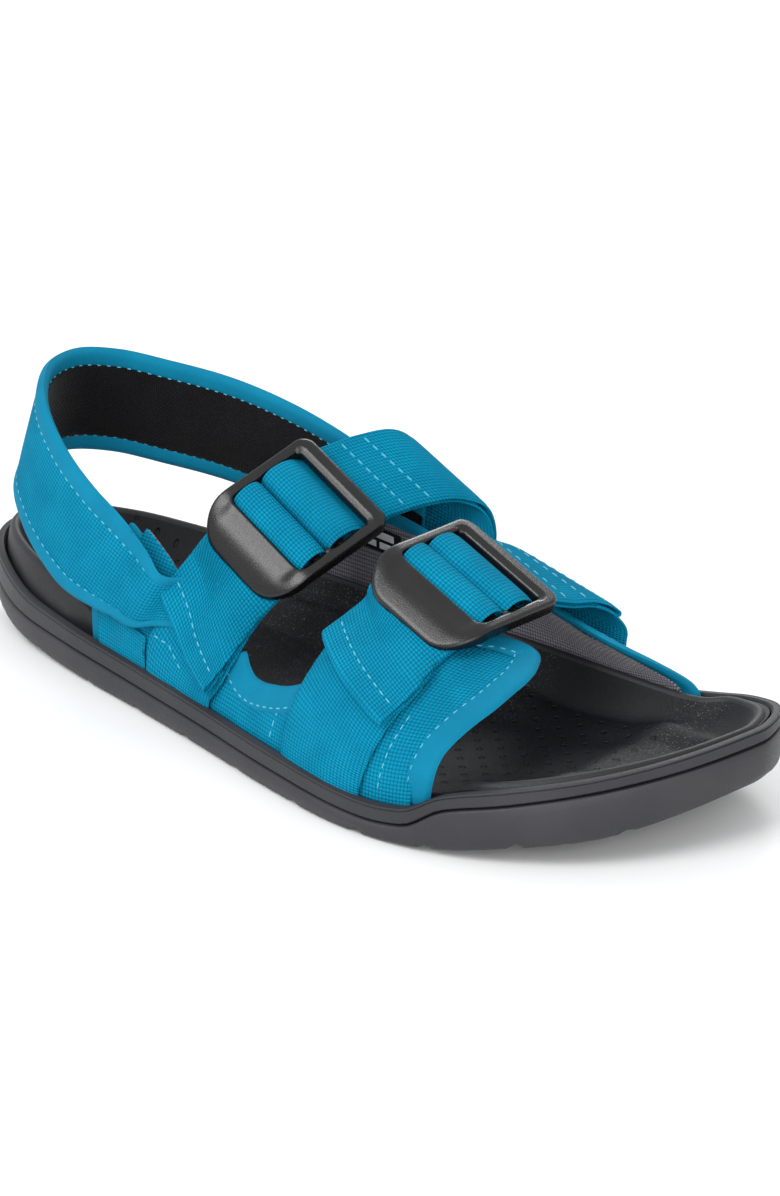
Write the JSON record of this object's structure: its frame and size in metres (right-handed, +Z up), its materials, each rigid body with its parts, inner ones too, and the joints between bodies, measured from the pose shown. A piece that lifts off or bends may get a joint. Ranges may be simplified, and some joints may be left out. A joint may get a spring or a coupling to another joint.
{
  "type": "strappy sport sandal",
  "caption": "Flat-soled right-foot sandal with a woven two-strap upper, tilt-lock frame buckles and a padded fold-down heel strap.",
  "frame": {"origin": "on the ground, under the middle of the sole's length and width", "axes": "+X towards the toe, +Y towards the medial (inner) side, +Z up"},
  "size_m": [0.285, 0.1044, 0.0889],
  "materials": {
    "sole_rubber": "charcoal moulded rubber, satin, with a groove line",
    "sole_foam": "charcoal foam band, matt",
    "footbed_foam": "near-black moulded foam, fine speckle, small dimples",
    "canvas": "blue woven canvas",
    "binding": "blue satin edge tape with light dashed stitches",
    "lining_knit": "grey mesh knit",
    "label": "black woven label with plain pale patches",
    "webbing": "blue ribbed webbing",
    "buckle_plastic": "black moulded plastic, satin grain",
    "heel_padding": "black brushed padded lining"
  },
  "bodies": {
    "sole_and_upper": {"outsole": "sole_rubber", "midsole": "sole_foam", "footbed": "footbed_foam", "lateral_panel": "canvas", "medial_panel": "canvas", "lateral_lining": "lining_knit", "medial_lining": "lining_knit", "lateral_binding_front": "binding", "lateral_binding_rear": "binding", "lateral_binding_top": "binding", "medial_binding_front": "binding", "medial_binding_rear": "binding", "medial_binding_top": "binding", "woven_label": "label", "rear_tab": "webbing", "front_tab": "webbing", "rear_strap": "webbing", "rear_strap_tail": "webbing", "front_strap": "webbing", "front_strap_tail": "webbing", "heel_flap_lateral": "canvas", "heel_flap_medial": "canvas"},
    "rear_buckle": {"rear_buckle": "buckle_plastic", "rear_strap_turn": "webbing"},
    "front_buckle": {"front_buckle": "buckle_plastic", "front_strap_turn": "webbing"},
    "heel_strap": {"heel_strap": "canvas", "heel_strap_lining": "heel_padding", "heel_binding_upper": "binding", "heel_binding_lower": "binding"}
  },
  "joints": [
    {"name": "rear_buckle_tilt", "type": "hinge", "parent": "sole_and_upper", "child": "rear_buckle", "pos_m": [-0.0156, -0.0001, 0.0577], "axis": [-0.8913, 0.0501, 0.4507], "range_deg": [0, 20]},
    {"name": "front_buckle_tilt", "type": "hinge", "parent": "sole_and_upper", "child": "front_buckle", "pos_m": [0.0524, -0.0024, 0.0573], "axis": [-0.9203, 0.03, 0.3901], "range_deg": [0, 15]},
    {"name": "heel_strap_fold", "type": "hinge", "parent": "sole_and_upper", "child": "heel_strap", "pos_m": [-0.045, 0.0068, 0.048], "axis": [0, 1, 0], "range_deg": [-12, 20]}
  ]
}
